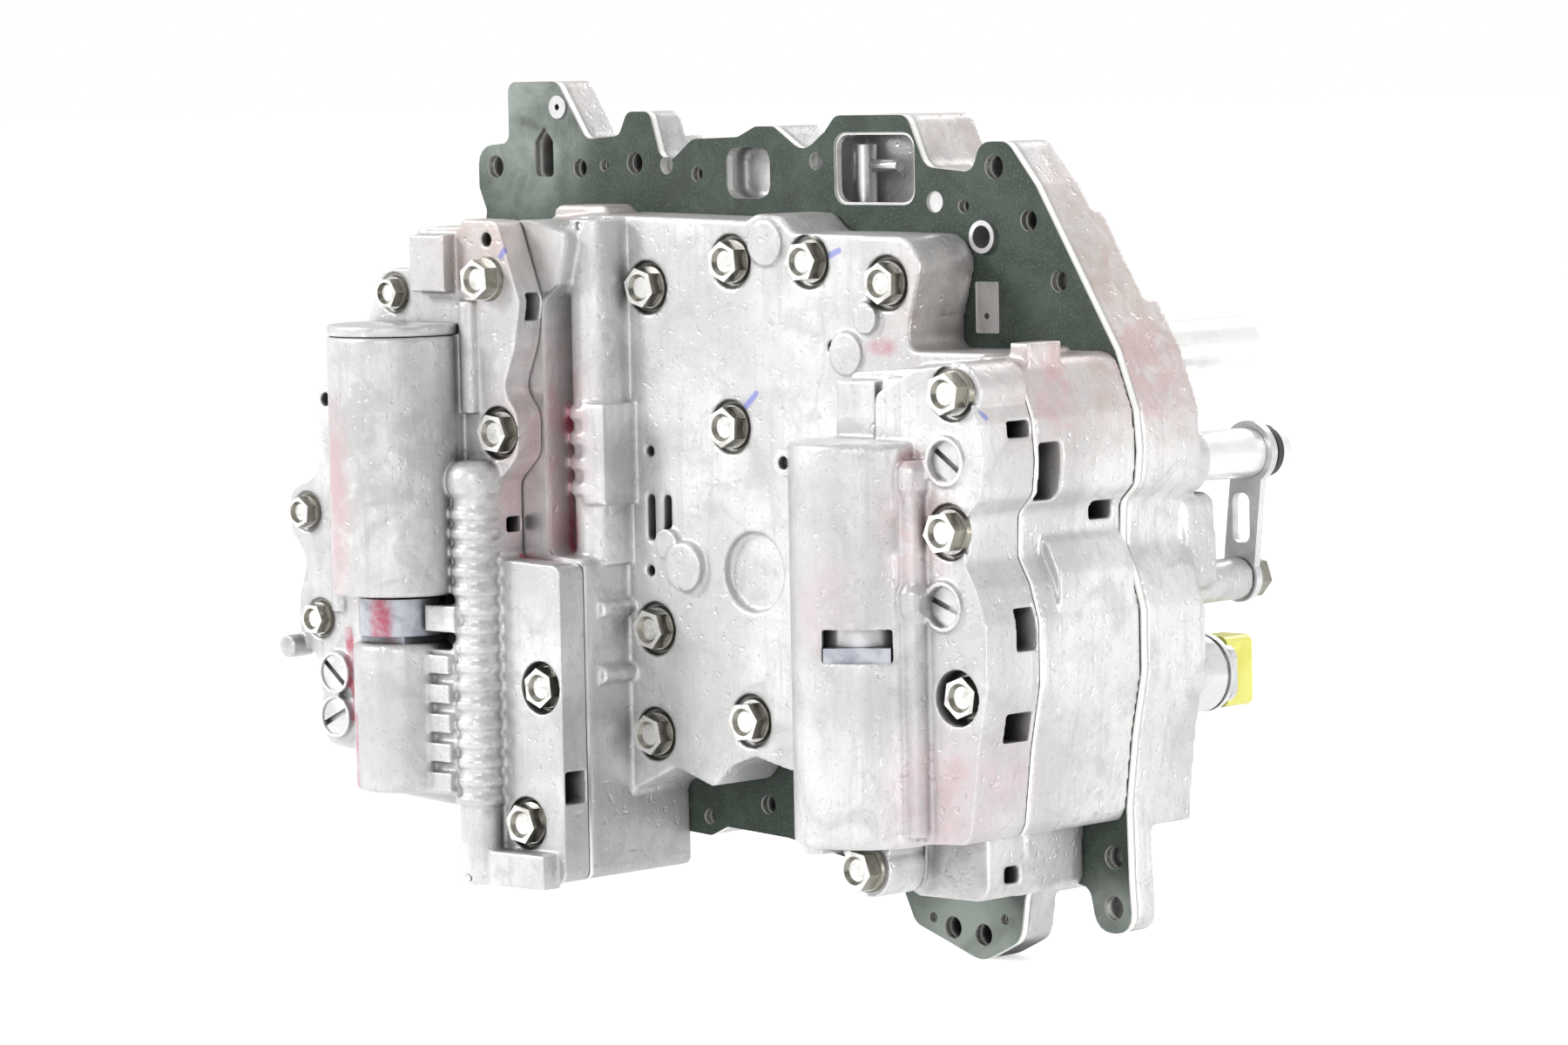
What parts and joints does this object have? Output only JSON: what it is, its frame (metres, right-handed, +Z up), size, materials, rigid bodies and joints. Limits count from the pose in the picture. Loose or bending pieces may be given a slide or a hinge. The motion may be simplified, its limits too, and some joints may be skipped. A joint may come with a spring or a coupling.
{
  "type": "transmission valve body",
  "caption": "Layered die-cast valve body of an automatic gearbox: front, middle and rear castings on gaskets and a steel separator plate, with pistons and spool valves.",
  "frame": {"origin": "midway between the two upper case bolt holes, on the front face of the front gasket", "axes": "+X along the gasket face to the right as seen from the front, -Y out of the front castings, +Z up towards the upper case bolt holes"},
  "size_m": [0.2839, 0.155, 0.2463],
  "materials": {
    "cast_aluminium": "die-cast, dull satin",
    "gasket": "matte coated fibre",
    "plate_steel": "rolled satin",
    "zinc_bolt": "yellowish zinc plate",
    "spring_wire": "drawn wire",
    "connector": "moulded, satin",
    "solenoid_can": "plated satin",
    "rubber": "matte",
    "piston_alloy": "hard anodised, satin",
    "steel": "ground satin"
  },
  "bodies": {
    "housing": {"middle_body": "cast_aluminium", "left_body": "cast_aluminium", "right_body": "cast_aluminium", "rear_body": "cast_aluminium", "left_plate": "plate_steel", "right_plate": "plate_steel", "front_gasket": "gasket", "separator_plate": "plate_steel", "rear_gasket": "gasket", "left_body_bolts": "zinc_bolt", "left_side_bolts": "zinc_bolt", "middle_body_bolts": "zinc_bolt", "right_body_bolts": "zinc_bolt", "left_slotted_plugs": "steel", "right_slotted_plugs": "steel", "plate_rivets": "steel", "dowel_sleeves": "steel", "check_balls": "steel", "left_cap": "cast_aluminium", "left_upper_spring": "spring_wire", "left_lower_spring": "spring_wire", "left_lower_plug": "steel", "left_keeper": "steel", "right_upper_spring": "spring_wire", "right_upper_plug": "steel", "right_keeper": "steel", "right_lower_spring": "spring_wire", "right_lower_plug": "steel", "right_snap_ring": "steel", "shift_spring": "spring_wire", "shift_plug": "steel", "shift_clip": "steel", "regulator_spring": "spring_wire", "regulator_plug": "steel", "regulator_clip": "steel", "upper_oil_tube": "steel", "lower_oil_tube": "steel", "tube_seal": "rubber", "tube_retainer": "steel", "retainer_bolt": "zinc_bolt", "lower_solenoid": "solenoid_can", "lower_connector": "connector", "upper_solenoid": "solenoid_can", "upper_connector": "connector", "solenoid_strap": "steel", "strap_bolt": "zinc_bolt"},
    "left_upper_piston": {"left_upper_piston": "piston_alloy"},
    "left_lower_piston": {"left_lower_piston": "piston_alloy"},
    "right_upper_piston": {"right_upper_piston": "piston_alloy"},
    "right_lower_piston": {"right_lower_piston": "piston_alloy"},
    "shift_valve": {"shift_spool": "steel"},
    "regulator_valve": {"regulator_spool": "steel"},
    "manual_valve": {"manual_valve": "steel", "manual_pin": "steel"}
  },
  "joints": [
    {"name": "left_upper_piston_slide", "type": "slide", "parent": "housing", "child": "left_upper_piston", "axis": [0, 0, 1], "range_m": [0, 0.015], "stiffness_N_per_m": 2500, "springref_m": -0.008, "deforming": ["left_upper_spring"]},
    {"name": "left_lower_piston_slide", "type": "slide", "parent": "housing", "child": "left_lower_piston", "axis": [0, 0, -1], "range_m": [0, 0.008], "stiffness_N_per_m": 2500, "springref_m": -0.006, "deforming": ["left_lower_spring"]},
    {"name": "right_upper_piston_slide", "type": "slide", "parent": "housing", "child": "right_upper_piston", "axis": [0, 0, -1], "range_m": [0, 0.012], "stiffness_N_per_m": 2500, "springref_m": -0.008, "deforming": ["right_upper_spring"]},
    {"name": "right_lower_piston_slide", "type": "slide", "parent": "housing", "child": "right_lower_piston", "axis": [0, 0, -1], "range_m": [0, 0.01], "stiffness_N_per_m": 2500, "springref_m": -0.008, "deforming": ["right_lower_spring"]},
    {"name": "shift_valve_slide", "type": "slide", "parent": "housing", "child": "shift_valve", "axis": [0, 0, 1], "range_m": [0, 0.008], "stiffness_N_per_m": 600, "springref_m": -0.01, "deforming": ["shift_spring"]},
    {"name": "regulator_valve_slide", "type": "slide", "parent": "housing", "child": "regulator_valve", "axis": [0, 0, 1], "range_m": [0, 0.007], "stiffness_N_per_m": 800, "springref_m": -0.01, "deforming": ["regulator_spring"]},
    {"name": "manual_valve_slide", "type": "slide", "parent": "housing", "child": "manual_valve", "axis": [0, 0, 1], "range_m": [-0.01, 0.004]}
  ]
}
